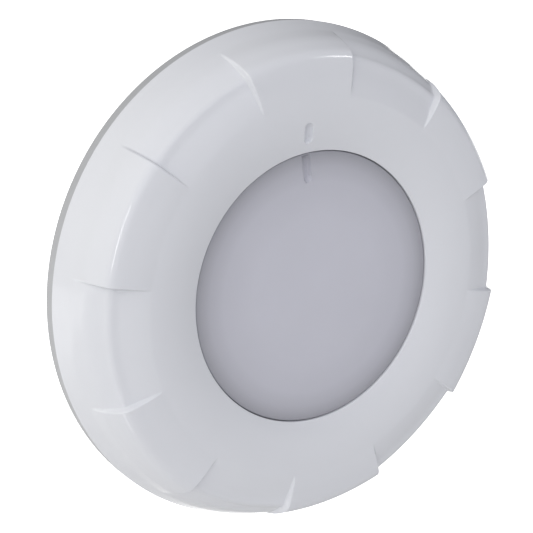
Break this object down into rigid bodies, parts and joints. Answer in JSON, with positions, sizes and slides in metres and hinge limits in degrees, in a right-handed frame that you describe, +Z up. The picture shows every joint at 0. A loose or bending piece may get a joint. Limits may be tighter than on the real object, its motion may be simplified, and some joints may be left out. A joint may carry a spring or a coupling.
{
  "type": "underwater pool light",
  "caption": "Round surface-mounted underwater pool light: stepped white trim ring, frosted lens, sealed LED unit and wall bracket joined by twist locks.",
  "frame": {"origin": "centre of the wall-screw circle, in the plane of the pool wall", "axes": "+Y into the wall along the light's axis, so the light faces -Y; +Z up, with the alignment marks at the top; +X to the right seen from the front"},
  "size_m": [0.28, 0.0431, 0.28],
  "materials": {
    "ring_white": "glossy moulded ABS, white with a cool tint",
    "lens_frosted": "frosted opal polycarbonate",
    "bracket_plastic": "moulded ABS, light grey",
    "housing_plastic": "moulded polycarbonate, satin",
    "clamp_plastic": "moulded polycarbonate, satin",
    "gland_nylon": "black nylon",
    "seal_rubber": "black silicone rubber",
    "stainless": "passivated stainless steel",
    "sink_aluminium": "machined aluminium",
    "pad_grey": "soft thermal pad",
    "board_white": "white solder mask on aluminium core",
    "board_green": "green solder mask",
    "led_yellow": "phosphor under clear resin",
    "terminal_green": "moulded nylon",
    "component_black": "moulded epoxy",
    "can_aluminium": "drawn can",
    "ferrite": "sintered ferrite",
    "winding_copper": "enamelled copper wire",
    "fuse_glass": "clear glass tube",
    "varistor_blue": "blue epoxy dip",
    "lead_red": "silicone insulation",
    "lead_black": "silicone insulation"
  },
  "bodies": {
    "wall_mount": {"wall_bracket": "bracket_plastic"},
    "light_unit": {"housing": "housing_plastic", "gland_body": "gland_nylon", "gland_nut": "gland_nylon", "gland_lock_nut": "gland_nylon", "gland_seal": "seal_rubber", "gland_o_ring": "seal_rubber", "lens_o_ring": "seal_rubber", "driver_board": "board_green", "terminal_block": "terminal_green", "terminal_screws": "stainless", "bridge_rectifier": "component_black", "driver_chip": "component_black", "capacitors": "can_aluminium", "choke_core": "ferrite", "choke_winding": "winding_copper", "fuse": "fuse_glass", "varistor": "varistor_blue", "driver_board_screws": "stainless", "led_lead_positive": "lead_red", "led_lead_negative": "lead_black", "heat_sink": "sink_aluminium", "heat_sink_screws": "stainless", "thermal_pad": "pad_grey", "led_board": "board_white", "leds": "led_yellow", "led_board_screws": "stainless", "lens": "lens_frosted", "lens_clamp_ring": "clamp_plastic", "lens_clamp_screws": "stainless"},
    "cover": {"trim_ring": "ring_white"}
  },
  "joints": [
    {"name": "light_twist", "type": "hinge", "parent": "wall_mount", "child": "light_unit", "pos_m": [0, 0, 0], "axis": [0, -1, 0], "range_deg": [0, 30]},
    {"name": "cover_twist", "type": "hinge", "parent": "light_unit", "child": "cover", "pos_m": [0, 0, 0], "axis": [0, -1, 0], "range_deg": [0, 30]}
  ]
}
